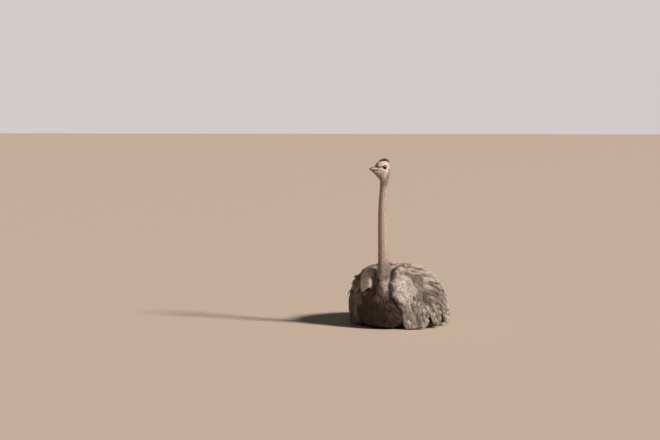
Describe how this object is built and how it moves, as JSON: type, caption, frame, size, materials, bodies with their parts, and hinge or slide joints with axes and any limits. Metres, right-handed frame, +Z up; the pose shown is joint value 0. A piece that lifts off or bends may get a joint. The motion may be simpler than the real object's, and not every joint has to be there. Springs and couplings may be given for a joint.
{
  "type": "sitting ostrich figure",
  "caption": "Life-size still hen ostrich sitting on the ground: upright bare neck, small head turned to its right, and loose wings drooped round the body down to the floor.",
  "frame": {"origin": "on the floor, under the middle of the whole bird", "axes": "+Z up; the bird faces -Y; its left side is +X"},
  "size_m": [0.7238, 0.8768, 1.208],
  "materials": {
    "head_skin": "bare greyish-pink skin under sparse bristly down",
    "neck_skin": "pale pinkish-beige bare skin under thin down",
    "body_plumage": "soft loose grey-brown body feathers",
    "wing_plumes": "soft loose grey-brown plumes with pale fringes",
    "tail_plumes": "soft loose drooping plumes",
    "bill_horn": "dull horn",
    "claw_horn": "dull dark horn",
    "eye": "wet, very dark brown eye",
    "leg_skin": "scaled greyish-brown leg skin"
  },
  "bodies": {
    "root": {"head": "head_skin", "neck_upper": "neck_skin", "neck_middle": "neck_skin", "neck_lower": "neck_skin", "trunk": "body_plumage", "tail": "tail_plumes", "wing_left": "wing_plumes", "wing_right": "wing_plumes", "bill_upper": "bill_horn", "bill_lower": "bill_horn", "eye_left": "eye", "eye_right": "eye", "drumstick_left": "leg_skin", "drumstick_right": "leg_skin", "shank_left": "leg_skin", "shank_right": "leg_skin", "big_toe_left": "leg_skin", "big_toe_right": "leg_skin", "small_toe_left": "leg_skin", "small_toe_right": "leg_skin", "claw_left": "claw_horn", "claw_right": "claw_horn"}
  },
  "joints": []
}
